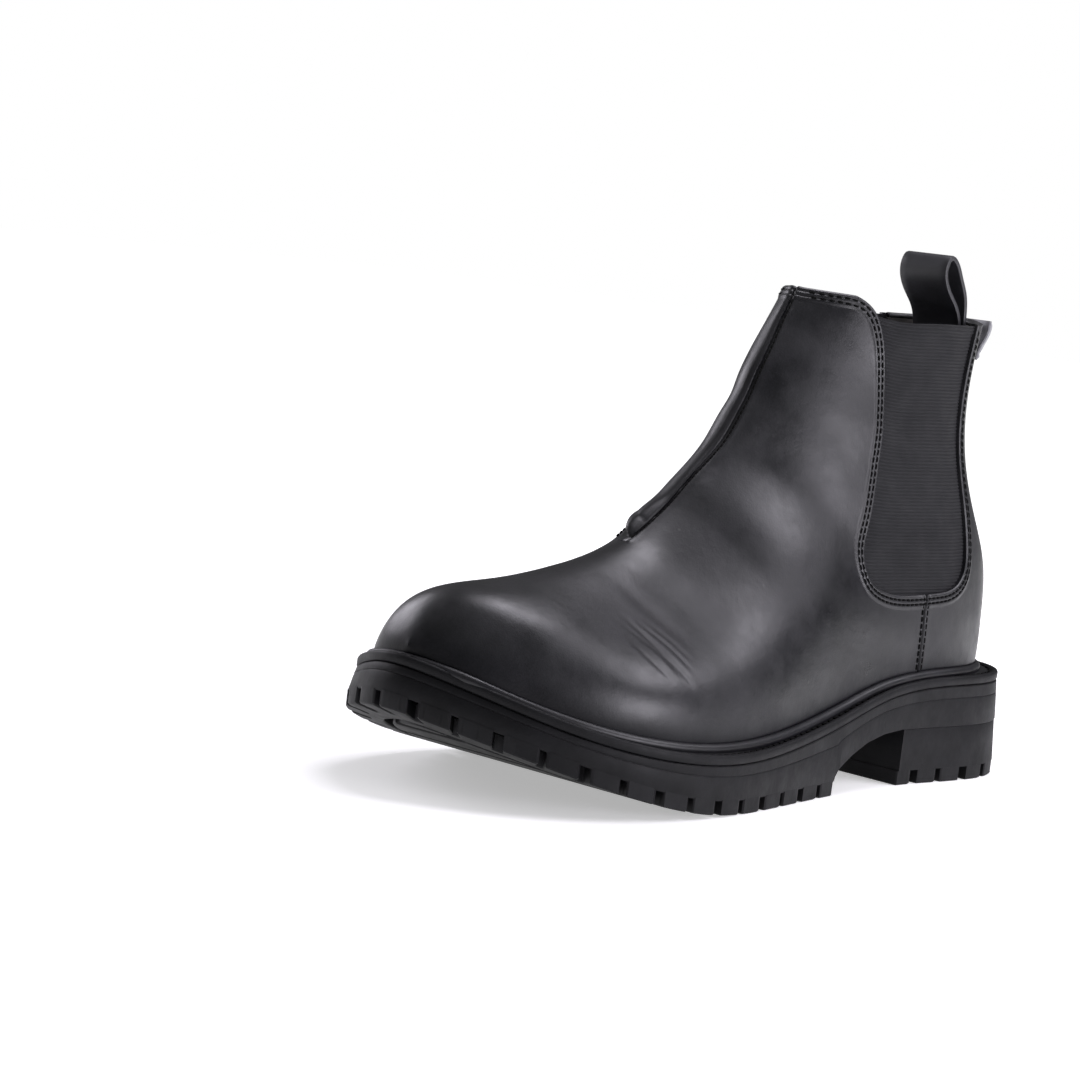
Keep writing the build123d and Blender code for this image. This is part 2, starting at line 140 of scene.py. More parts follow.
def inward_of(loop):
    """Unit vectors pointing into a closed plan curve, one for each of its points."""
    along = unit(np.roll(loop, -1, axis=0) - np.roll(loop, 1, axis=0))
    inward = np.stack([along[:, 1], -along[:, 0]], -1)
    if (inward * (loop.mean(axis=0) - loop)).sum() < 0:
        inward = -inward
    return inward


def ring_faces(ring_count, n, closed=False):
    """Quads between neighbouring rings of n points; closed also joins the last ring to the first."""
    c = np.arange(n)
    nxt = (c + 1) % n
    faces = []
    for r in range(ring_count if closed else ring_count - 1):
        low, high = r * n, (r + 1) % ring_count * n
        faces.append(np.stack([low + c, low + nxt, high + nxt, high + c], -1))
    return np.concatenate(faces)


def grid_tris(rows, columns):
    """Triangles of a flat grid with rows by columns cells, numbered row by row."""
    w = columns + 1
    a = np.add.outer(np.arange(rows) * w, np.arange(columns)).ravel()
    return np.concatenate([np.stack([a, a + w, a + w + 1], -1), np.stack([a, a + w + 1, a + 1], -1)])


def tube_faces(ring_count, n):
    """Quads between the rings of n points, and a cap on both ends."""
    caps = [tuple(range(n))[::-1], tuple(range((ring_count - 1) * n, ring_count * n))]
    return [tuple(f) for f in ring_faces(ring_count, n)] + caps


# ------------------------------------------------------------------ shape of the boot
# side-view curves are lists of (s, z); the sole plan is a list of (s, x)
WELT_LINE = [(-15, 41.5), (0, 41), (40, 40.6), (70, 40), (95, 37), (125, 30), (160, 24),
             (200, 21.3), (240, 24), (280, 33.5), (310, 47), (325, 54)]
TOE_SPRING = [(195, 0), (210, 0.6), (235, 3.8), (270, 13), (310, 29), (325, 35.5)]
SOLE_PLAN = [(0, 0), (1.2, 16), (6.5, 28.5), (18.5, 37.2), (42, 41.5), (85, 42), (125, 45.8), (165, 52.7),
             (200, 58.4), (228, 59), (256, 52.5), (281, 37), (299, 16.2), (310, -9.5), (303, -29),
             (290, -45.4), (268, -55.3), (245, -59.2), (220, -58.5), (190, -52.3), (155, -43.2),
             (120, -39.5), (85, -41), (45, -42), (18, -38), (6, -29), (1.2, -16)]
PIVOT_Z = 190.0
SECTION_STEPS = (0.06, 0.22, 0.50, 0.78, 0.95)
# pivot s, tilt in degrees, depth of the ridge and of the far edge below the pivot, x of both,
# and x of the outer and of the inner side at each of the SECTION_STEPS between them
STATIONS = [
    (304.4, 0, 140.5, 152.5, -9, -9, (-8.4, -7.9, -7.5, -7.5, -8.2), (-9.6, -10.1, -10.5, -10.5, -9.8)),
    (303, 0, 136.5, 153, -9, -9, (-5, -1.5, 1, 1, -1), (-13, -16.5, -19, -19, -17)),
    (299, 0, 129.5, 156, -9, -9, (-2, 5, 11, 12, 10), (-16, -23, -28, -29, -27)),
    (290, 0, 122, 160, -8, -8, (4, 12, 20, 22, 20), (-18, -28, -35, -37.5, -36)),
    (277, 0, 119, 168, -6, -6, (9, 21, 30.5, 33, 31), (-20, -33, -41, -43.5, -41)),
    (260, 0, 117.5, 172, -5, -4, (11, 26, 40, 43, 40.5), (-20, -34, -44.5, -47, -44.5)),
    (260, 14, 116, 184, -4, -3, (10, 26, 47, 51.5, 49), (-18, -32, -46.5, -49.5, -47)),
    (260, 27.4, 117.2, 201, -4, -2, (9, 24, 44.5, 48, 46), (-16, -30, -42, -42.5, -39.5)),
    (260, 39, 115.9, 218, -4, 0, (8, 23, 39, 41, 38.5), (-15, -28, -36, -35.5, -33)),
    (260, 48.2, 115.4, 240, -4, 0, (8, 24, 36, 37.5, 35), (-15, -29, -36, -35.5, -33)),
    (260, 56, 117.3, 295, -4, 0, (8, 24, 34.5, 36, 26), (-16, -29, -36, -36, -27)),
    (260, 62, 118, 291.5, -4, -1, (8, 23, 32.5, 33, 19.5), (-16, -29, -35.5, -35, -21.5)),
    (260, 66, 119, 282.5, -4, -1.5, (8, 22, 30, 29.5, 17), (-15, -29, -34.5, -33, -20)),
    (260, 69.4, 119.6, 267.5, -4, -2, (7.5, 20.5, 28, 26.5, 14), (-15, -28, -34, -31.5, -18)),
    (260, 74, 122, 252.5, -4, -3, (7, 18.5, 25.5, 23, 11), (-15, -27, -33, -29.5, -17)),
    (260, 79, 125.5, 245, -4, -3, (6, 17, 24.5, 21.5, 10), (-14, -26, -32, -28, -16)),
    (260, 84, 131, 243.5, -4, -3, (5.5, 16.5, 24, 21, 10), (-13.5, -25.5, -31.5, -27.5, -16)),
    (260, 89, 138, 246, -4, -3, (5.5, 16.5, 24, 21, 10), (-13.5, -25.5, -31.5, -27.5, -16)),
]
COLLAR_LINE = [(-15, 178), (10, 176.6), (24, 175.2), (40, 174.6), (70, 174.2), (95, 175.8), (104, 179.8),
               (116, 181.2), (128, 181.8), (160, 182.5)]
WINDOW_FRONT = [(118, 184.4), (112.3, 182.0), (107.3, 179.9), (102.6, 176.0), (99.8, 170), (98.3, 162),
                (97.8, 152), (99, 131), (102, 115), (106.5, 97), (109.3, 86)]
WINDOW_REAR = [(45.2, 80), (42.5, 90), (43.5, 112), (44, 136), (41.5, 158), (39, 172), (38, 184)]
WINDOW_EDGE = (WINDOW_FRONT + [(106.5, 77.5), (98.5, 73.2), (86, 71.5), (66, 72.2), (52, 74.6)]
               + WINDOW_REAR)
COUNTER_SEAM = [(70.3, 80), (71.6, 71.5), (72.2, 62), (72.5, 50), (72.5, 40), (72.5, 28)]
MEDIAL_SEAM = [(224, 87), (213, 85.5), (205, 87), (190, 92), (170, 94), (140, 90), (108, 83), (80, 85)]
VAMP_POINT_S = 206.0
TREAD_END, HEEL_BREAST, HEEL_TOP, LUG_DEPTH = 131.0, 84.0, 21.4, 5.0

welt_curve = open_curve(WELT_LINE, 200)
toe_curve = np.vstack([[(-15, 0)], open_curve(TOE_SPRING, 80)])
collar_curve = open_curve(COLLAR_LINE, 100)


def s_of(points):
    return LENGTH / 2 - points[:, 1]


def welt_z(s):
    return np.interp(s, welt_curve[:, 0], welt_curve[:, 1])


def ground_z(s):
    return np.interp(s, toe_curve[:, 0], toe_curve[:, 1])


def collar_z(s):
    return np.interp(s, collar_curve[:, 0], collar_curve[:, 1])


def last_grid(rows, columns):
    """Grid of points on the outer face of the foot and shaft, toe to collar, starting at the ridge."""
    rings = []
    for pivot_s, tilt, near, far, ridge_x, far_x, outer, inner in STATIONS:
        depth = [near + step * (far - near) for step in SECTION_STEPS]
        loop = [(ridge_x, near)] + list(zip(outer, depth)) + [(far_x, far)] + list(zip(inner, depth))[::-1]
        ring = closed_curve(loop, columns, turn=len(SECTION_STEPS) + 1)
        a = math.radians(tilt)
        rings.append(np.stack([ring[:, 0], LENGTH / 2 - pivot_s + ring[:, 1] * math.sin(a),
                               PIVOT_Z - ring[:, 1] * math.cos(a)], axis=-1))
    rings = np.array(rings)
    steps = np.linalg.norm(np.diff(rings, axis=0), axis=2)
    mean_t = np.concatenate([[0], np.cumsum(steps.mean(axis=1))])
    wanted = np.linspace(0, mean_t[-1], rows)
    grid = np.zeros((rows, columns, 3))
    for c in range(columns):
        t = np.concatenate([[0], np.cumsum(steps[:, c])])
        grid[:, c] = spline_rows(t, rings[:, c], np.interp(wanted, mean_t, t))
    return grid


ROWS, COLUMNS = ((300, 300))
grid = last_grid(ROWS, COLUMNS)


def grid_normals(g):
    du = np.gradient(g, axis=0)
    dv = (np.roll(g, -1, axis=1) - np.roll(g, 1, axis=1)) / 2
    n = np.cross(du, dv)
    n /= np.maximum(np.linalg.norm(n, axis=2, keepdims=True), 1e-9)
    centre = g.mean(axis=1, keepdims=True)
    if ((g - centre) * n).sum() < 0:
        n = -n
    return n


def proper(t):
    """Which triangles have three different corners."""
    return (t[:, 0] != t[:, 1]) & (t[:, 1] != t[:, 2]) & (t[:, 0] != t[:, 2])


normals = grid_normals(grid)
quads = ring_faces(ROWS, COLUMNS)
base_tris = np.concatenate([quads[:, [0, 1, 2]], quads[:, [0, 2, 3]]])
# the first row is the slit at the toe, so its two sides are joined
mirror = (COLUMNS - np.arange(COLUMNS)) % COLUMNS
grid[0] = (grid[0] + grid[0][mirror]) / 2
normals[0] = unit(normals[0] + normals[0][mirror])
base_tris = np.where(base_tris < COLUMNS, np.minimum(base_tris, mirror[base_tris % COLUMNS]), base_tris)
base_tris = base_tris[proper(base_tris)]
base_points = grid.reshape(-1, 3)
tri_normal = np.cross(base_points[base_tris[:, 1]] - base_points[base_tris[:, 0]],
                      base_points[base_tris[:, 2]] - base_points[base_tris[:, 0]])
if (tri_normal * normals.reshape(-1, 3)[base_tris[:, 0]]).sum() < 0:
    base_tris = base_tris[:, [0, 2, 1]]
tree = BVHTree.FromPolygons([Vector(p) for p in base_points], [tuple(int(i) for i in t) for t in base_tris])


def cast(start, direction):
    """Where a ray meets the last, and the outward normal there; None if it misses."""
    hit, normal = tree.ray_cast(Vector(start), Vector(direction))[:2]
    if hit is None:
        return None
    return np.array(hit), np.array(normal) * (-1 if normal.dot(Vector(direction)) > 0 else 1)


def on_side(s, z, side):
    """Point and normal at a side-view position, on the outer (+1) or the inner (-1) side."""
    return cast((120 * side, LENGTH / 2 - s, z), (-side, 0, 0))


# ------------------------------------------------------------------ cutting sheets of triangles
# A sheet is (data, tris). Each data row holds position (3), normal (3) and then the fields below.
def seam_lean(z):
    """How far the front seam swings outwards at a height."""
    return 3.5 * np.sin(np.pi * np.clip((z - 84) / 100, 0, 1)) ** 0.7


def fields(points):
    """Distances of points from the edges and seams of the upper, one column each."""
    s = s_of(points)
    z = points[:, 2]
    side_view = np.stack([s, z], axis=-1)
    edge = open_curve(WINDOW_EDGE, 160)
    gap = distance(side_view, edge)[0]
    window = np.where(inside(side_view, edge), gap, -gap)
    gap, turn = distance(side_view, open_curve(COUNTER_SEAM, 24))
    counter = gap * turn
    gap, turn = distance(side_view, open_curve(MEDIAL_SEAM, 40))
    medial = gap * turn
    return np.stack([window, counter, medial, points[:, 0] - SEAM_X - seam_lean(z), z - 86.0, collar_z(s) - z,
                     z - welt_z(s) + 1.0], axis=-1)


WINDOW, COUNTER, MEDIAL, CENTRE, STRIP, COLLAR, FEATHER = range(6, 13)
data = np.hstack([base_points, normals.reshape(-1, 3), fields(base_points)])
counter_sign = np.sign(data[np.argmin(np.abs(data[:, 1] - 125) + np.abs(data[:, 2] - 55)), COUNTER])
data[:, COUNTER] *= counter_sign
medial_sign = np.sign(data[np.argmin(np.abs(data[:, 1] - 20) + np.abs(data[:, 2] - 130)), MEDIAL])
data[:, MEDIAL] *= medial_sign


def split(sheet, column, level, keep="both"):
    """Adds an edge loop where a field crosses level. keep is both, above or below."""
    d, t = sheet
    f = d[:, column] - level
    up = f > 0
    votes = up[t].sum(axis=1)
    mixed = (votes == 1) | (votes == 2)
    m = t[mixed]
    mu = up[m]
    lone_up = mu.sum(axis=1) == 1
    lone = np.where(lone_up[:, None], mu, ~mu).argmax(axis=1)
    r = np.arange(len(m))
    a, b, c = m[r, lone], m[r, (lone + 1) % 3], m[r, (lone + 2) % 3]
    pairs = np.sort(np.concatenate([np.stack([a, b], -1), np.stack([a, c], -1)]), axis=1)
    unique, index = np.unique(pairs, axis=0, return_inverse=True)
    index = index.reshape(-1)
    i, j = unique[:, 0], unique[:, 1]
    w = (f[i] / (f[i] - f[j]))[:, None]
    fresh = d[i] * (1 - w) + d[j] * w
    fresh[:, column] = level
    ab, ac = len(d) + index[:len(m)], len(d) + index[len(m):]
    d = np.vstack([d, fresh])
    tip = np.stack([a, ab, ac], -1)
    rest = np.concatenate([np.stack([ab, b, c], -1), np.stack([ab, c, ac], -1)])
    rest_up = np.concatenate([~lone_up, ~lone_up])
    parts = []
    if keep != "below":
        parts += [t[votes == 3], tip[lone_up], rest[rest_up]]
    if keep != "above":
        parts += [t[votes == 0], tip[~lone_up], rest[~rest_up]]
    return compact(d, np.concatenate(parts))


def compact(d, t):
    """Drops collapsed triangles and the points that no triangle uses."""
    t = t[proper(t)]
    used = np.unique(t)
    remap = np.full(len(d), -1)
    remap[used] = np.arange(len(used))
    return d[used], remap[t]


def boundary_edges(t):
    """Edges that belong to one triangle only."""
    e = np.concatenate([t[:, [0, 1]], t[:, [1, 2]], t[:, [2, 0]]])
    key = np.sort(e, axis=1)
    first, count = np.unique(key, axis=0, return_index=True, return_counts=True)[1:]
    return e[first[count == 1]]


def thicken(outer, inner, t):
    """Closed mesh from an outer sheet, the matching inner points and walls along the free edges."""
    n = len(outer)
    edges = boundary_edges(t)
    walls = np.concatenate([np.stack([edges[:, 1], edges[:, 0], edges[:, 0] + n], -1),
                            np.stack([edges[:, 1], edges[:, 0] + n, edges[:, 1] + n], -1)])
    return np.vstack([outer, inner]), np.concatenate([t, t[:, ::-1] + n, walls])


def piece(name, shape, material, sharp=None, node=None, body=None):
    """A named mesh from (points, faces). It replaces a CAD node and rides on a body, if they are given."""
    points, faces = shape
    mesh = bpy.data.meshes.new(name)
    corners = [tuple(p) for p in points * MM]
    mesh.from_pydata(corners, [], [tuple(int(i) for i in f) for f in faces])
    mesh.validate()
    mesh.update()
    mesh.polygons.foreach_set("use_smooth", [True] * len(mesh.polygons))
    if sharp is not None:
        mesh.set_sharp_from_angle(angle=math.radians(sharp))
    obj = bpy.data.objects.new(name, mesh)
    bpy.context.scene.collection.objects.link(obj)
    mesh.materials.append(material)
    if node:
        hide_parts(node)
    if body:
        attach(obj, body)
    return obj


# ------------------------------------------------------------------ materials
def wire(target, value):
    """Gives a shader socket a number, a colour or the output of another node."""
    if isinstance(value, bpy.types.NodeSocket):
        target.id_data.links.new(value, target)
    else:
        target.default_value = value


def add_node(tree, kind, **inputs):
    """New shader node. An underscore in the name of an input stands for a space."""
    node = tree.nodes.new("ShaderNode" + kind)
    for key, value in inputs.items():
        wire(node.inputs[key.replace("_", " ")], value)
    return node


def map_range(tree, value, low, high, out_low=0.0, out_high=1.0):
    return add_node(tree, "MapRange", Value=value, From_Min=low, From_Max=high, To_Min=out_low,
                    To_Max=out_high).outputs["Result"]


def node_material(name, build):
    """Procedural material. build gets a few helpers and returns the inputs of the shader."""
    material = bpy.data.materials.new(name)
    material.use_nodes = True
    tree = material.node_tree
    coords = add_node(tree, "TexCoord").outputs["Object"]

    def noise(scale, detail=4.0, rough=0.55, distortion=0.0):
        return add_node(tree, "TexNoise", Scale=scale, Detail=detail, Roughness=rough,
                        Distortion=distortion, Vector=coords).outputs["Fac"]

    def ramp(*values):
        return map_range(tree, *values)

    def mix(share, a, b):
        node = add_node(tree, "Mix")
        node.data_type = "RGBA"
        for index, value in ((0, share), (6, a), (7, b)):
            wire(node.inputs[index], value + (1,) if isinstance(value, tuple) else value)
        return node.outputs[2]

    def bump(height, strength, distance_mm, below=None):
        node = add_node(tree, "Bump", Strength=strength, Distance=distance_mm * MM, Height=height)
        if below is not None:
            wire(node.inputs["Normal"], below)
        return node.outputs["Normal"]

    for key, value in build(tree, coords, noise, ramp, mix, bump).items():
        wire(tree.nodes["Principled BSDF"].inputs[key], value)
    return material


def leather(tree, coords, noise, ramp, mix, bump):
    cloud = ramp(noise(18, 3), 0.35, 0.7)
    grime = ramp(noise(60, 6, 0.65), 0.45, 0.75)
    tone = mix(cloud, (0.0035, 0.0037, 0.005), (0.008, 0.008, 0.010))
    tone = mix(ramp(grime, 0, 1, 0, 0.4), tone, (0.022, 0.021, 0.025))
    scuffs = add_node(tree, "TexVoronoi", Scale=42, Vector=coords).outputs["Distance"]
    tone = mix(ramp(scuffs, 0.035, 0.0, 0, 0.6), tone, (0.05, 0.048, 0.046))
    # near_welt lowers the gloss close to the welt: partly a darker polish, partly painted shade where the
    # upper meets the welt
    near_welt = add_node(tree, "Attribute")
    near_welt.attribute_name = "near_welt"
    grain = add_node(tree, "TexVoronoi", Scale=900, Vector=coords)
    grain.feature = "DISTANCE_TO_EDGE"
    relief = bump(ramp(grain.outputs["Distance"], 0, 0.12), 0.06, 0.15)
    relief = bump(noise(260, 5, 0.6), 0.16, 0.3, relief)
    relief = bump(noise(45, 5, 0.6), 0.28, 0.9, relief)
    relief = bump(noise(16, 3, 0.5, 0.6), 0.30, 2.2, relief)
    return {"Base Color": tone, "Roughness": ramp(noise(35, 6, 0.65), 0.3, 0.7, 0.27, 0.52),
            "Specular IOR Level": ramp(near_welt.outputs["Fac"], 0, 1, 0.42, 0.03),
            "Coat Weight": 0.04, "Coat Roughness": 0.30, "Normal": relief}


def ribbed(tree, coords, noise, ramp, mix, bump):
    rib = add_node(tree, "Attribute")
    rib.attribute_name = "rib"
    # Base colour is darker in the rib grooves and lighter on the crests: painted shade in the grooves
    return {"Base Color": mix(rib.outputs["Fac"], (0.003, 0.003, 0.004), (0.008, 0.008, 0.010)),
            "Roughness": ramp(noise(90, 4), 0.3, 0.7, 0.7, 0.82), "Specular IOR Level": 0.3,
            "Normal": bump(noise(1800, 3), 0.3, 0.1)}


def plain(color, rough, grain_scale, grain_mm, specular=0.5):
    """Slightly uneven colour and gloss, with a fine grain."""
    def build(tree, coords, noise, ramp, mix, bump):
        dark, light = (tuple(min(1, c * share) for c in color) for share in (0.65, 1.35))
        return {"Base Color": mix(ramp(noise(70, 5), 0.3, 0.7), dark, light),
                "Roughness": ramp(noise(110, 4), 0.3, 0.7, rough - 0.07, rough + 0.07),
                "Specular IOR Level": specular, "Normal": bump(noise(grain_scale, 4), 0.35, grain_mm)}
    return build


LEATHER = node_material("black_leather", leather)
EDGE_LEATHER = node_material("edge_leather", plain((0.012, 0.012, 0.014), 0.5, 500, 0.2))
STRAP_LEATHER = node_material("strap_leather", plain((0.018, 0.018, 0.022), 0.5, 700, 0.1))
LINING = node_material("lining_leather", plain((0.06, 0.055, 0.05), 0.75, 600, 0.2))
FOOTBED = node_material("footbed_leather", plain((0.035, 0.033, 0.032), 0.7, 600, 0.2))

ELASTIC = node_material("elastic", ribbed)
RUBBER = node_material("sole_rubber", plain((0.0055, 0.0055, 0.0065), 0.55, 400, 0.25, specular=0.17))
BEAD = node_material("welt_bead", plain((0.008, 0.008, 0.010), 0.40, 400, 0.1, specular=0.4))
THREAD = node_material("thread", plain((0.003, 0.003, 0.003), 0.8, 1500, 0.1, specular=0.08))
TAB = node_material("back_tab", plain((0.28, 0.28, 0.30), 0.45, 600, 0.2))
BOARD = node_material("board", plain((0.35, 0.27, 0.18), 0.8, 400, 0.3))
CORK = node_material("cork", plain((0.35, 0.22, 0.12), 0.85, 300, 0.5))
STEEL = node_material("steel", plain((0.5, 0.5, 0.5), 0.35, 500, 0.05))
CAD_LOOKS = [(LINING, "vamp_lining lateral_quarter_lining medial_quarter_lining heel_lining "
              "back_strip_lining heel_stiffener toe_puff"),
             (FOOTBED, "footbed"), (BOARD, "insole_board"), (CORK, "cork_filler"),
             (STEEL, "shank heel_nails")]
for look, node_names in CAD_LOOKS:
    for node_name in node_names.split():
        node_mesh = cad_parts[node_name].data
        node_mesh.materials.clear()
        node_mesh.materials.append(look)

# ------------------------------------------------------------------ upper
LEATHER_THICK = 1.7
RIM_ROWS = (1.6, 3.4)
COUNTER_ROW = 1.55


def valley(x, centre, width):
    """Bell of height 1 round the centre."""
    return np.exp(-((x - centre) / width) ** 2)


def smooth_step(x, low, high):
    """Rises smoothly from 0 at low to 1 at high."""
    u = np.clip((x - low) / (high - low), 0, 1)
    return u * u * (3 - 2 * u)


# Creases: (s, z) of both ends on the outer side, depth and width
CREASES = [((237, 61), (225, 44), 0.22, 0.9), ((234, 63), (221.5, 44), 0.36, 1.1),
           ((230, 62), (219.5, 49), 0.26, 0.8), ((240, 57), (231, 46), 0.14, 0.9),
           ((226, 62), (218, 52), 0.16, 1.2), ((226, 74), (212, 56), 0.25, 3.0),
           ((190, 104), (160, 76), 0.15, 5.0), ((174, 116), (142, 86), 0.15, 7.0),
           ((156, 134), (130, 108), 0.12, 8.0), ((205, 88), (186, 62), 0.15, 6.0)]


def upper_offset(d):
    """Height of the leather above the last, from wear creases, seams and turned edges."""
    s = s_of(d)
    z = d[:, 2]
    out = np.zeros(len(d))
    view = np.stack([s, z], -1)
    for index, (start, end, depth, width) in enumerate(CREASES):
        a, b = np.array(start, float), np.array(end, float)
        middle = (a + b) / 2 + np.array([1.5, 0.8]) * (1 if index % 2 else -1)
        gap = distance(view, open_curve([a, middle, b], 10))[0]
        along = np.clip(((view - a) @ (b - a)) / ((b - a) @ (b - a)), 0, 1)
        fade = np.sin(np.pi * np.clip(along, 0.02, 0.98)) ** 0.6
        bank = valley(gap, 2.1 * width, 1.4 * width)
        out -= depth * fade * (valley(gap, 0, width) - 0.55 * bank)
    rim = np.minimum(-d[:, WINDOW], np.where(s > 95, d[:, COLLAR], 50.0))
    out += 0.45 * (1 - smooth_step(rim, 3.9, 5.4)) * (rim < 8)
    out -= 0.55 * (1 - smooth_step(rim, -0.1, 0.9))
    out -= 0.3 * (valley(rim, RIM_ROWS[0], 0.5) + valley(rim, RIM_ROWS[1], 0.5))
    return out


upper = (data, base_tris)
upper = split(upper, COLLAR, 0.0, "above")
upper = split(upper, FEATHER, 0.0, "above")
upper = split(upper, WINDOW, 0.0, "below")
# edge loops where the leather changes height
for level in (-0.35, -0.8, -1.2, -1.6, -2.0, -2.6, -3.0, -3.4, -3.8, -4.6, -5.4):
    upper = split(upper, WINDOW, level)
for level in (0.8, 1.2, 1.6, 2.0, 2.6, 3.0, 3.4, 3.8, 4.6, 5.4):
    upper = split(upper, COLLAR, level)
for level in (-2.8, -2.0, -1.55, -1.1, -0.5, 0.0, 0.5, 1.1, 1.55, 2.0, 2.8):
    upper = split(upper, COUNTER, level)
for level in (-2.6, -1.9, -1.2, -0.4, 0.0, 0.5, 1.4, 2.2):
    upper = split(upper, CENTRE, level)
for level in (-0.8, 0.0, 0.5, 1.2, 1.9, 2.6, 3.6, 4.4):
    upper = split(upper, MEDIAL, level)
upper = split(upper, STRIP, 0.0)
d, t = upper
middle = d[t].mean(axis=1)
mid_s = s_of(middle)
is_strip = (mid_s < 60) & (middle[:, STRIP] > 0)
is_counter = ~is_strip & (middle[:, COUNTER] > 0) & (mid_s < 90) & (middle[:, 2] < 90)
is_medial = ~is_strip & ~is_counter & (middle[:, CENTRE] < 0) & (middle[:, MEDIAL] > 0) & (middle[:, 2] > 60)
is_vamp = ~(is_strip | is_counter | is_medial)

s = s_of(d)
near_counter = (s < 95) & (d[:, 2] < 90)
on_medial = (d[:, CENTRE] < 3) & (s > 95)
height = upper_offset(d)
counter_gap = d[:, COUNTER]
counter_rows = valley(counter_gap, -COUNTER_ROW, 0.45) + valley(counter_gap, COUNTER_ROW, 0.45)
height += near_counter * (0.4 * valley(counter_gap, 0, 2.6) - 1.2 * valley(counter_gap, 0, 0.55)
                          - 0.3 * counter_rows)
front = (d[:, 3:6] @ np.array([0, -1, 0.3]) > 0.25) & (s < VAMP_POINT_S)
seam_gap = d[:, CENTRE]
height += front * (0.35 * valley(seam_gap, -1.6, 1.6) - 0.7 * valley(seam_gap, 0.2, 0.4)
                   + 0.3 * valley(seam_gap, 1.6, 1.0))
medial_gap = d[:, MEDIAL]
medial_lap = smooth_step(medial_gap, -0.2, 0.2) * (1 - smooth_step(medial_gap, 4, 9))
height += on_medial * (seam_gap < 0) * (0.5 * medial_lap - 0.7 * valley(medial_gap, 0, 0.45)
                                        - 0.25 * valley(medial_gap, 2.2, 0.45))
vamp_point_lip = 2.4 * valley(s, 197, 13)
height += on_medial * (medial_gap > 0) * vamp_point_lip * smooth_step(-seam_gap, 0, 4)
surface = d[:, :3] + d[:, 3:6] * height[:, None]
inner_face = d[:, :3] - d[:, 3:6] * LEATHER_THICK
# 1 at the welt, fading out higher up; the leather lowers its gloss with it, partly darker polish and partly
# painted shade
near_welt = 1 - smooth_step(d[:, FEATHER:FEATHER + 1], -2.0, 17.0)


def bend_with_collar(obj):
    """Bakes the placement of a back strip piece into its mesh."""
    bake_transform(obj)


PANELS = {"vamp": is_vamp, "medial_quarter": is_medial, "heel_counter": is_counter, "back_strip": is_strip}
for node, mask in PANELS.items():
    packed, tris = compact(np.hstack([surface, inner_face, near_welt]), t[mask])
    obj = piece(node + "_leather", thicken(packed[:, :3], packed[:, 3:6], tris), LEATHER,
                50, node, None if node == "back_strip" else "foot")
    polish = obj.data.attributes.new("near_welt", "FLOAT", "POINT")
    polish.data.foreach_set("value", np.concatenate([packed[:, 6], packed[:, 6]]))
    if node == "back_strip":
        bend_with_collar(obj)

# ------------------------------------------------------------------ folded tab on the back of the shaft
TAB_LOW, TAB_HIGH, TAB_HALF, TAB_CENTRE = 161.0, 177.0, 13.5, -1.5
TAB_THICK = 1.9


def back_of_shaft(x, z):
    return cast((x, LENGTH / 2 + 60, z), (0, -1, 0))


def back_tab():
    """Folded leather sewn across the back seam, leaning away from the shaft towards its top."""
    across, up_steps = 36, 30
    outer_points, inner_points = [], []
    for r in range(up_steps + 1):
        for c in range(across + 1):
            u, v = 2 * c / across - 1, r / up_steps
            x = TAB_CENTRE + u * TAB_HALF * (1 - 0.06 * v)
            z = TAB_LOW + v * (TAB_HIGH - TAB_LOW)
            hit, normal = back_of_shaft(x, z)
            lean = 0.6 + 2.4 * smooth_step(v, 0.1, 0.8)
            side_edge = smooth_step(1 - abs(u), 0, 0.10)
            end_edge = smooth_step(v, 0, 0.06) * smooth_step(1 - v, -0.02, 0.10)
            pinch = -0.35 * valley(v, 0.16, 0.035) - 0.35 * valley(abs(u), 0.84, 0.03)
            body = (TAB_THICK + pinch) * (0.35 + 0.65 * side_edge * end_edge)
            outer_points.append(hit + normal * (lean + body))
            inner_points.append(hit + normal * lean)
    shape = thicken(np.array(outer_points), np.array(inner_points), grid_tris(up_steps, across))
    row_z = TAB_LOW + 0.16 * (TAB_HIGH - TAB_LOW)
    row = [(back_of_shaft(TAB_CENTRE + u * TAB_HALF, row_z)[0] + np.array([0, 1.85, 0]),
            np.array([1.0, 0, 0]), np.array([0, 1.0, 0])) for u in np.linspace(-0.84, 0.84, 9)]
    return shape, row


shape, tab_row = back_tab()
piece("back_tab_leather", shape, TAB, 50, "back_tab", "collar_back")

# ------------------------------------------------------------------ elastic gores
GORE_LAP, GORE_THICK, RIB_HEIGHT = 3.0, 1.2, 0.17


def gore(side):
    """Ribbed elastic that fills the window and runs a little way under the leather round it."""
    front = open_curve([(s + GORE_LAP, z) for s, z in WINDOW_FRONT], 60)
    rear = open_curve([(s - GORE_LAP, z) for s, z in WINDOW_REAR], 60)[::-1]
    rows, rows_per_rib = ((420, 5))
    columns = 40
    low_z, points, inner, ribs = 66.5, [], [], []
    for r in range(rows + 1):
        share = r / rows
        for c in range(columns + 1):
            across = c / columns
            top_s = 40 + across * 56
            z = low_z + share * (collar_z(top_s) - 0.7 - low_z)
            s0 = np.interp(z, rear[::-1, 1], rear[::-1, 0]) if z > 80 else 42 + (80 - z) * 0.1
            s1 = np.interp(z, front[::-1, 1], front[::-1, 0]) if z > 86 else 111
            s = s0 + across * (s1 - s0)
            p, n = on_side(s, z, side)
            rib = math.cos(2 * math.pi * r / rows_per_rib)
            ribs.append(0.5 + 0.5 * rib)
            hem = 0.35 * smooth_step(share, 0.965, 0.975)
            bulge = -1.5 + 0.9 * math.sin(math.pi * across) * math.sin(math.pi * min(1, share * 1.1))
            points.append(p + n * (bulge + RIB_HEIGHT * rib + hem))
            inner.append(p + n * (bulge - GORE_THICK))
    tris = grid_tris(rows, columns)
    if side < 0:
        tris = tris[:, ::-1]
    return thicken(np.array(points), np.array(inner), tris), ribs


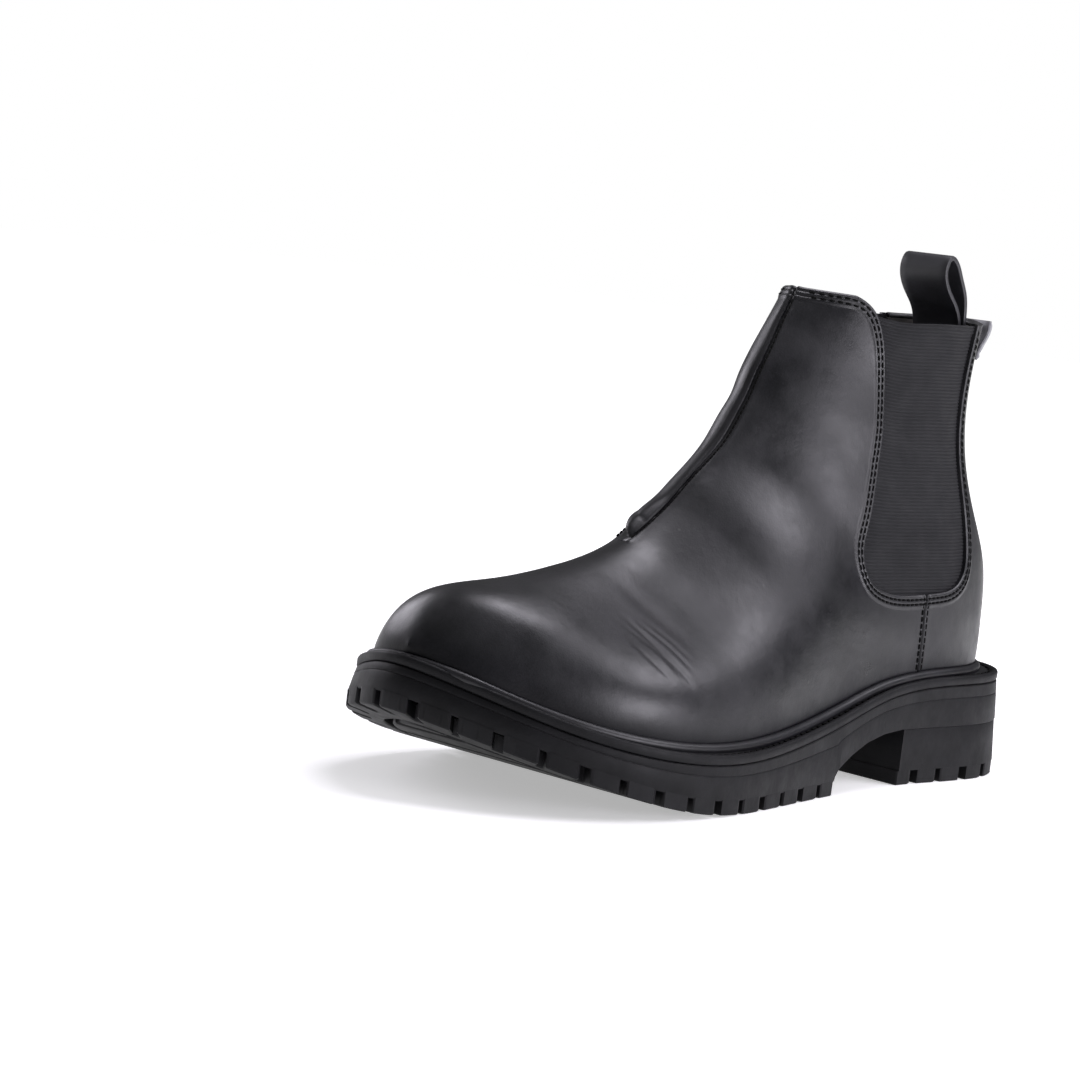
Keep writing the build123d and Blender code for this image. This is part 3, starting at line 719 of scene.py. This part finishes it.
for side, node in ((1, "lateral_gore"), (-1, "medial_gore")):
    shape, ribs = gore(side)
    obj = piece(node + "_elastic", shape, ELASTIC, 60, node)
    obj.data.attributes.new("rib", "FLOAT", "POINT").data.foreach_set("value", ribs + ribs)
    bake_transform(obj)


# ------------------------------------------------------------------ sole
def sole_outline(count):
    return closed_curve([(x, LENGTH / 2 - s) for s, x in SOLE_PLAN], count)


SOLE_COLUMNS = 1100
plan = sole_outline(SOLE_COLUMNS)
plan_inward = inward_of(plan)
plan_s = s_of(plan)


def sweep(profile, closed=False):
    """Band around the sole; profile is a list of (inset, height function of s)."""
    rings = [np.column_stack([plan + plan_inward * inset, level(plan_s)]) for inset, level in profile]
    return np.concatenate(rings), ring_faces(len(profile), len(plan), closed)


def above(dz):
    return lambda s: welt_z(s) + dz


# flat strip with a stitch channel and a raised outer edge: (inset, height above the welt line)
WELT_PROFILE = [(12.5, -3.9), (12.5, -0.2), (5.0, -0.2), (4.4, -0.7), (2.7, -0.7), (2.2, -0.1), (1.7, 0.2),
                (0.9, 0.25), (0.35, 0.0), (0.0, -0.6), (0.0, -2.6), (0.35, -3.2), (0.9, -3.4), (1.5, -3.9)]
piece("storm_welt", sweep([(inset, above(dz)) for inset, dz in WELT_PROFILE], closed=True), RUBBER,
      40, "welt", "foot")

FEATHER_LEVEL = 1.6
BEAD_RADIUS, BEAD_SIDES = 1.75, 12


def feather_loop(count):
    """Closed line round the upper where it meets the welt."""
    cut, tris = split((data, base_tris), FEATHER, FEATHER_LEVEL, "above")
    chain = {}
    for start, end in boundary_edges(tris):
        if cut[start, FEATHER] < FEATHER_LEVEL + 0.1:
            chain[int(start)] = int(end)
    first = next(iter(chain))
    order = [first]
    while chain[order[-1]] != first:
        order.append(chain[order[-1]])
    line = cut[order, :3]
    line = np.vstack([line, line[:1]])
    loop = read_at(line, np.linspace(0, run_length(line)[-1], count, endpoint=False))
    for _ in range(12):
        loop = (np.roll(loop, 1, axis=0) + 2 * loop + np.roll(loop, -1, axis=0)) / 4
    return loop


def welt_bead(count):
    """Round bead of the welt that lies against the upper."""
    loop = feather_loop(count)
    outward = np.column_stack([-inward_of(loop[:, :2]), np.zeros(count)])
    centre = loop + outward * 0.9
    centre[:, 2] = welt_z(s_of(loop)) + 0.9
    angles = np.linspace(0, 2 * math.pi, BEAD_SIDES, endpoint=False)
    rings = [centre + outward * BEAD_RADIUS * math.cos(a)
             + np.array([0, 0, 1.15 * BEAD_RADIUS * math.sin(a)]) for a in angles]
    return np.concatenate(rings), ring_faces(BEAD_SIDES, count, closed=True)


piece("welt_bead", welt_bead(500), BEAD, body="foot")


def sole_bottom(s):
    """Underside of the continuous sole, above the lugs, over the waist and at the heel seat."""
    s = np.asarray(s, float)
    waist = np.interp(s, [HEEL_BREAST, 96, 108, TREAD_END - 12, TREAD_END - 3, TREAD_END + 1],
                      [HEEL_TOP + 0.1, 20.5, 18, 14, 9.5, LUG_DEPTH])
    return np.where(s > TREAD_END, ground_z(s) + LUG_DEPTH, waist)


def share_down(share, extra=0.0):
    """Height function of a line that lies at a share of the way from the welt to the sole bottom."""
    return lambda s: (welt_z(s) - 3.5) * (1 - share) + sole_bottom(s) * share + extra


TOE_FLARE, HEEL_FLARE = 0.03, 0.05
TOE_CENTRE = np.array([-8.0, LENGTH / 2 - 225])
HEEL_CENTRE = np.array([0.0, LENGTH / 2 - 60])


def flared(points, share):
    """The sole widens slightly towards the ground round the toe and round the heel."""
    s = s_of(points)
    toe_growth = TOE_FLARE * smooth_step(s, 235, 300) * share
    heel_growth = HEEL_FLARE * smooth_step(-s, -80, -30) * share
    result = np.array(points, float)
    result[:, :2] += (points[:, :2] - TOE_CENTRE) * toe_growth[:, None]
    result[:, :2] += (points[:, :2] - HEEL_CENTRE) * heel_growth[:, None]
    return result


def depth_share(points):
    """How far each point lies from the welt (0) to the ground (1)."""
    top = welt_z(s_of(points)) - 3.5
    return np.clip((top - points[:, 2]) / (top - ground_z(s_of(points)) - LUG_DEPTH), 0, 1)


SIDE_GROOVE = 0.30
band = [(2.0, share_down(0, -0.1)), (0.5, share_down(0, -0.1)), (0.1, share_down(0, -0.5))]
band += [(inset, share_down(SIDE_GROOVE, dz)) for inset, dz in
         ((0.0, 0.5), (0.06, 0.28), (0.26, 0.1), (0.26, -0.1), (0.06, -0.28), (0.0, -0.5))]
band += [(inset, share_down(1, dz)) for inset, dz in ((0.0, 0.6), (0.35, 0.0), (4.0, 0.0), (20.0, 0.0))]
points = sweep(band)[0]
points = flared(points, depth_share(points))
piece("sole_side", (points, tube_faces(len(band), len(plan))), RUBBER, 40, "midsole", "foot")


# ------------------------------------------------------------------ treads
def plan_field(points, outline):
    """Distance from the sole outline, positive inside."""
    gap = distance(points, np.vstack([outline, outline[:1]]))[0]
    return np.where(inside(points, outline), gap, -gap)


NOTCH_IN, CROSS_GROOVE_PITCH = 7.5, 17.0
LUG_ROUNDING = 0.45
CELL = 1.0


def tread(name, low_s, high_s, notch_stations, edge_block, top, node, inset=0.0):
    """Lugged underside: the plan between two stations, cut by edge notches and grooves."""
    outline = sole_outline(260)
    xs = np.arange(-62, 62 + CELL, CELL)
    ss = np.arange(low_s - 2, high_s + 2, CELL)
    gx, gs = np.meshgrid(xs, ss, indexing="ij")
    gx, gs = gx.ravel(), gs.ravel()
    p = np.column_stack([gx, LENGTH / 2 - gs])
    edge = plan_field(p, outline) - inset
    ends = np.minimum(gs - low_s, high_s - gs)
    gap_field = np.full(len(p), 50.0)
    for place, direction, width in notch_stations:
        rel = p - place
        along = np.abs(rel[:, 0] * direction[1] - rel[:, 1] * direction[0]) - width / 2
        depth = np.abs(rel @ direction)
        notch = np.maximum(along, np.maximum(edge - NOTCH_IN, depth - 2 * NOTCH_IN))
        gap_field = np.minimum(gap_field, notch)
    ring = np.maximum(np.abs(edge - edge_block - 1.5) - 1.5, -(ends - 7))
    gap_field = np.minimum(gap_field, ring)
    core = edge - edge_block - 3
    for station in np.arange(low_s + 20, high_s - 14, CROSS_GROOVE_PITCH):
        away = np.abs(gs - station) - 1.6
        gap_field = np.minimum(gap_field, np.maximum(away, -core))
    field = np.minimum(np.minimum(edge, ends), gap_field)
    tris = grid_tris(len(xs) - 1, len(ss) - 1)[:, ::-1]
    sheet = split((np.column_stack([p, field]), tris), 2, 0.0, "above")
    d, t = split(sheet, 2, LUG_ROUNDING)
    s = s_of(d)
    z = ground_z(s) + LUG_ROUNDING * (1 - smooth_step(d[:, 2], 0, LUG_ROUNDING))
    bottom = np.column_stack([d[:, :2], z])
    first = bottom[t[0]]
    if np.cross(first[1] - first[0], first[2] - first[0])[2] > 0:
        t = t[:, ::-1]
    points, faces = thicken(bottom, np.column_stack([d[:, :2], top(s)]), t)
    points = flared(points, np.ones(len(points)))
    piece(name, (points, faces), RUBBER, 40, node, "foot")


def edge_notches(low_s, high_s, pitch, first, wide_mm, narrow_mm):
    """Places, inward directions and widths of the edge notches, alternately wide and narrow."""
    outline = sole_outline(1600)
    inward = inward_of(outline)
    s = s_of(outline)
    walked = run_length(outline)
    places, mark, wide = [], first, True
    while mark < walked[-1]:
        i = int(np.searchsorted(walked, mark))
        if i < len(outline) and low_s < s[i] < high_s:
            places.append((outline[i], inward[i], wide_mm if wide else narrow_mm))
        wide = not wide
        mark += pitch
    return places


tread("forepart_tread", TREAD_END, LENGTH + 2,
      edge_notches(TREAD_END + 8, LENGTH + 1, 14.6, 8.6, 3.6, 2.4), 13,
      lambda s: ground_z(s) + LUG_DEPTH + 0.6, "outsole")
tread("heel_tread", -2, HEEL_BREAST, edge_notches(-1, HEEL_BREAST - 6, 15.2, 8.0, 4.4, 2.8), 11,
      lambda s: s * 0 + LUG_DEPTH + 0.6, "heel_block", inset=0.3)


def heel_stack():
    """Heel block above its lugs, with a flat breast."""
    outline = sole_outline(700)
    s = s_of(outline)
    keep = s < HEEL_BREAST
    start = np.argmin(keep)
    order = np.roll(np.arange(len(outline)), -start)
    order = order[keep[order]]
    ring = outline[order]
    closing = np.column_stack([np.linspace(ring[-1, 0], ring[0, 0], 30)[1:-1],
                               np.full(28, LENGTH / 2 - HEEL_BREAST)])
    ring = np.vstack([ring, closing])
    inward = inward_of(ring)
    profile = [(0.3, LUG_DEPTH + 0.4), (0.3, 9.0), (0.3, 14.0), (0.3, HEEL_TOP - 0.3),
               (0.45, HEEL_TOP), (1.2, HEEL_TOP)]
    points = np.concatenate([np.column_stack([ring + inward * i, np.full(len(ring), z)]) for i, z in profile])
    return flared(points, depth_share(points)), tube_faces(len(profile), len(ring))


piece("heel_stack", heel_stack(), RUBBER, 40, body="foot")


# ------------------------------------------------------------------ stitching
def capsule(length, radius, segments=8):
    """One stitch: a short rounded bar along x."""
    rings = [(-0.46, 0.6), (-0.3, 0.95), (0.0, 1.0), (0.3, 0.95), (0.46, 0.6)]
    points = []
    for share, swell in rings:
        for k in range(segments):
            a = 2 * math.pi * k / segments
            points.append((share * length, radius * swell * math.cos(a), radius * swell * math.sin(a)))
    return np.array(points), tube_faces(len(rings), segments)


def stitches(places, length, radius):
    """One mesh of stitches; places is a list of (point, along, outward)."""
    shape, shape_faces = capsule(length, radius)
    points, faces = [], []
    for point, along, outward in places:
        along = unit(along)
        outward = unit(outward - along * (outward @ along))
        basis = np.stack([along, np.cross(outward, along), outward])
        base = len(points) * len(shape)
        points.append(point + shape @ basis)
        faces += [tuple(base + i for i in f) for f in shape_faces]
    return np.concatenate(points), faces


def spaced(curve, pitch):
    """Points along the curve, one pitch apart."""
    return read_at(curve, np.arange(pitch / 2, run_length(curve)[-1], pitch))


def shifted(curve, amount):
    """The curve moved sideways within its plane."""
    tang = unit(np.gradient(curve, axis=0))
    return curve + np.stack([-tang[:, 1], tang[:, 0]], -1) * amount


def side_row(curve, side, pitch, lift):
    """Stitch places along a side-view curve."""
    spots = spaced(curve, pitch)
    found = [on_side(s, z, side) for s, z in spots]
    places = []
    for i, hit in enumerate(found):
        other = found[min(i + 1, len(found) - 1)]
        before = found[max(i - 1, 0)]
        if hit is None or other is None or before is None:
            continue
        if spots[i][1] > collar_z(spots[i][0]) - 1.2 or spots[i][1] < welt_z(spots[i][0]) + 3:
            continue
        places.append((hit[0] + hit[1] * lift, other[0] - before[0], hit[1]))
    return places


window_curve = open_curve(WINDOW_EDGE, 300)
outward_sign = -1 if inside(shifted(window_curve, 2)[100:101], window_curve)[0] else 1
rows, strip_rows = [], []
for side in (1, -1):
    for gap in RIM_ROWS:
        curve = shifted(window_curve, outward_sign * gap)
        along_collar = np.array([(s, collar_z(s) - gap) for s in np.arange(133.0, 110.0 + gap, -1.0)])
        curve = np.vstack([along_collar, curve[curve[:, 1] < collar_z(curve[:, 0]) - gap - 0.5]])
        split_at = np.argmax((curve[:, 0] < 60) & (curve[:, 1] > 86))
        rows += side_row(curve[:split_at], side, 2.7, 0.25)
        strip_rows += side_row(curve[split_at:], side, 2.7, 0.25)
    for gap in (-COUNTER_ROW, COUNTER_ROW):
        rows += side_row(shifted(open_curve(COUNTER_SEAM[1:], 60), gap), side, 2.6, 0.1)
medial_curve = shifted(open_curve(MEDIAL_SEAM, 80), 2.0)
rows += side_row(medial_curve[(medial_curve[:, 0] > 114) & (medial_curve[:, 0] < 202)], -1, 2.7, 0.3)


SEAM_ROW = 1.1


def seam_row(pitch):
    """Stitches beside the front seam, from the vamp point up to the collar."""
    spots = []
    for z in np.arange(87, 176, 0.8):
        hit = cast((SEAM_X + seam_lean(z) + SEAM_ROW, -LENGTH, z), (0, 1, 0))
        if hit is not None:
            spots.append(np.concatenate(hit))
    spots = spaced(np.array(spots), pitch)
    return [(p[:3] + p[3:] * 0.15, spots[min(i + 1, len(spots) - 1), :3] - spots[max(i - 1, 0), :3], p[3:])
            for i, p in enumerate(spots)]


rows += seam_row(2.2)
piece("upper_stitching", stitches(rows, 2.2, 0.42), THREAD, body="foot")
piece("back_tab_stitching", stitches(tab_row, 1.9, 0.3), THREAD, body="collar_back")
bend_with_collar(piece("back_strip_stitching", stitches(strip_rows, 2.2, 0.42), THREAD))

welt_row = []
loop = plan + plan_inward * 3.3
loop3 = np.column_stack([loop, welt_z(plan_s) - 0.45])
for i, spot in enumerate(spaced(np.vstack([loop3, loop3[:1]]), 4.2)):
    j = np.argmin(np.linalg.norm(loop3 - spot, axis=1))
    welt_row.append((spot, loop3[(j + 1) % len(loop3)] - loop3[j - 1], np.array([0, 0, 1.0])))
piece("welt_stitching", stitches(welt_row, 3.4, 0.5), THREAD, body="foot")


# ------------------------------------------------------------------ collar edge and pull loop
def ribbon(path, across, profile):
    """Sweeps a closed profile (a, b) along a 3-D path; a runs along across, b along the path normal."""
    across = np.broadcast_to(unit(across), path.shape)
    normal = unit(np.cross(np.gradient(path, axis=0), across))
    points = np.concatenate([path[i] + np.outer(profile[:, 0], across[i]) + np.outer(profile[:, 1], normal[i])
                             for i in range(len(path))])
    return points, tube_faces(len(path), len(profile))


def strap_profile(width, thick, edge=0.5):
    """Flat closed section with rounded edges."""
    half, t = width / 2, thick / 2
    corner = [(half - edge, t), (half - 0.3 * edge, t - 0.3 * edge), (half, t - edge)]
    right = corner + [(x, -z) for x, z in corner[::-1]]
    flat = [(x, t) for x in np.linspace(-half + edge, half - edge, 8)[1:-1]]
    low = [(x, -t) for x in np.linspace(half - edge, -half + edge, 8)[1:-1]]
    left = [(-x, -z) for x, z in right]
    return np.array(flat + right + low + left)


LOOP_PATH = [(29.4, 164), (29.5, 171), (29.9, 178), (31.5, 185), (35.5, 191.5), (40, 197.5), (43.5, 199),
             (46, 196), (45.6, 190.5), (41, 184.5), (35.5, 179), (32.6, 172), (32, 164)]
path = open_curve(LOOP_PATH, 70)
path3 = np.column_stack([np.full(len(path), SEAM_X + 1), LENGTH / 2 - path[:, 0], path[:, 1]])
piece("pull_loop_strap", ribbon(path3, np.array([1.0, 0, 0]), strap_profile(22, 2.0)), STRAP_LEATHER,
      40, "pull_loop", "pull_loop")


def collar_points():
    """Outer edge of the collar from the outer gore, round the front, to the inner gore."""
    ring = []
    for c in range(COLUMNS):
        column = grid[:, c]
        above_line = column[:, 2] - collar_z(s_of(column))
        hits = np.where((above_line[:-1] < 0) & (above_line[1:] >= 0))[0]
        if len(hits) == 0:
            continue
        i = hits[-1]
        w = -above_line[i] / (above_line[i + 1] - above_line[i])
        ring.append((c, column[i] * (1 - w) + column[i + 1] * w, normals[i, c]))
    return ring


ring = collar_points()


def collar_edge(name, entries, body, node=None):
    """Rounded edge that closes the gap between the leather and the lining along the collar."""
    centre_line = np.array([p - nrm * 2.3 for c, p, nrm in entries]) - np.array([0, 0, 1.0])
    side_out = np.array([nrm for c, p, nrm in entries])
    side_out = unit(side_out * np.array([1, 1, 0]))
    angles = np.radians(np.linspace(0, 360, 16, endpoint=False))
    profile = np.stack([2.1 * np.cos(angles), 1.25 * np.sin(angles)], -1)
    piece(name, ribbon(centre_line, side_out, profile), EDGE_LEATHER, 60, node, body)


front_part = [entry for entry in ring if LENGTH / 2 - entry[1][1] > 108]
front_part.sort(key=lambda entry: entry[0] if entry[0] < COLUMNS // 2 else entry[0] - COLUMNS)
collar_edge("collar_edge", front_part, "foot", "collar_binding")
rear_part = [entry for entry in ring if LENGTH / 2 - entry[1][1] < 37]
rear_part.sort(key=lambda entry: entry[0])
collar_edge("rear_collar_edge", rear_part, "collar_back")

# ------------------------------------------------------------------ stage, camera, light
floor_mesh = bpy.data.meshes.new("floor")
floor_mesh.from_pydata([(-6, -6, 0), (6, -6, 0), (6, 6, 0), (-6, 6, 0)], [], [(0, 1, 2, 3)])
floor = bpy.data.objects.new("floor", floor_mesh)
bpy.context.scene.collection.objects.link(floor)


def floor_look(tree, coords, noise, ramp, mix, bump):
    radius = add_node(tree, "VectorMath")
    radius.operation = "LENGTH"
    wire(radius.inputs[0], coords)
    # The floor glows, dimmest near the boot and brighter outwards: a painted shadow round the boot
    return {"Base Color": (0.9, 0.9, 0.9, 1), "Emission Color": (1, 1, 1, 1), "Roughness": 0.8,
            "Specular IOR Level": 0.1,
            "Emission Strength": ramp(radius.outputs["Value"], 0.30, 0.9, 0.42, 1.05)}


floor_mesh.materials.append(node_material("floor_paper", floor_look))

scene = bpy.context.scene
world = bpy.data.worlds.new("studio")
world.use_nodes = True
sky = world.node_tree
sky_vector = add_node(sky, "TexCoord").outputs["Generated"]
altitude = add_node(sky, "SeparateXYZ", Vector=sky_vector).outputs["Z"]
# white behind the boot, dimmer as a light and dimmest from below
strength = add_node(sky, "Mix")
wire(strength.inputs[0], add_node(sky, "LightPath").outputs["Is Camera Ray"])
wire(strength.inputs[2], map_range(sky, altitude, -0.1, 0.95, 0.04, 0.24))
wire(strength.inputs[3], 1.0)
wire(sky.nodes["Background"].inputs["Color"], (1, 1, 1, 1))
wire(sky.nodes["Background"].inputs["Strength"], strength.outputs[0])
scene.world = world
scene.view_settings.view_transform = "Standard"


def area_light(name, location, target, size, power):
    light = bpy.data.lights.new(name, "AREA")
    light.shape = "RECTANGLE"
    light.size, light.size_y = size
    light.energy = power
    light.color = (1.0, 0.97, 1.06)
    obj = bpy.data.objects.new(name, light)
    obj.location = location
    obj.rotation_euler = (Vector(target) - Vector(location)).to_track_quat("-Z", "Y").to_euler()
    scene.collection.objects.link(obj)


area_light("top_softbox", (0.0, 0.25, 1.1), (0, 0, 0.05), (0.5, 0.5), 6)
area_light("key_softbox", (1.2, 0.35, 0.25), (0, 0, 0.08), (0.8, 0.4), 8.8)
area_light("rear_softbox", (0.6, 0.65, 0.85), (0, -0.02, 0.05), (0.6, 0.5), 5.6)
area_light("toe_softbox", (-1.1, -0.20, 0.5), (0, -0.12, 0.05), (0.9, 0.6), 6.6)

AZIMUTH, ELEVATION, ROLL, FOCAL_PX = 41.38, 5.92, 6.97, 3032.5
a, e, roll = math.radians(AZIMUTH), math.radians(ELEVATION), math.radians(ROLL)
forward = Vector((-math.sin(a) * math.cos(e), math.cos(a) * math.cos(e), -math.sin(e)))
right = Vector((math.cos(a), math.sin(a), 0))
up = right.cross(forward)
right2 = right * math.cos(roll) + up * math.sin(roll)
up2 = up * math.cos(roll) - right * math.sin(roll)
camera_data = bpy.data.cameras.new("camera")
camera_data.sensor_width = 36
camera_data.lens = 36 * FOCAL_PX / 1080
camera = bpy.data.objects.new("camera", camera_data)
rotation = Matrix((right2, up2, -forward)).transposed()
camera.matrix_world = Matrix.Translation(Vector((0.68, -0.8718, 0.1932))) @ rotation.to_4x4()
scene.collection.objects.link(camera)
scene.camera = camera
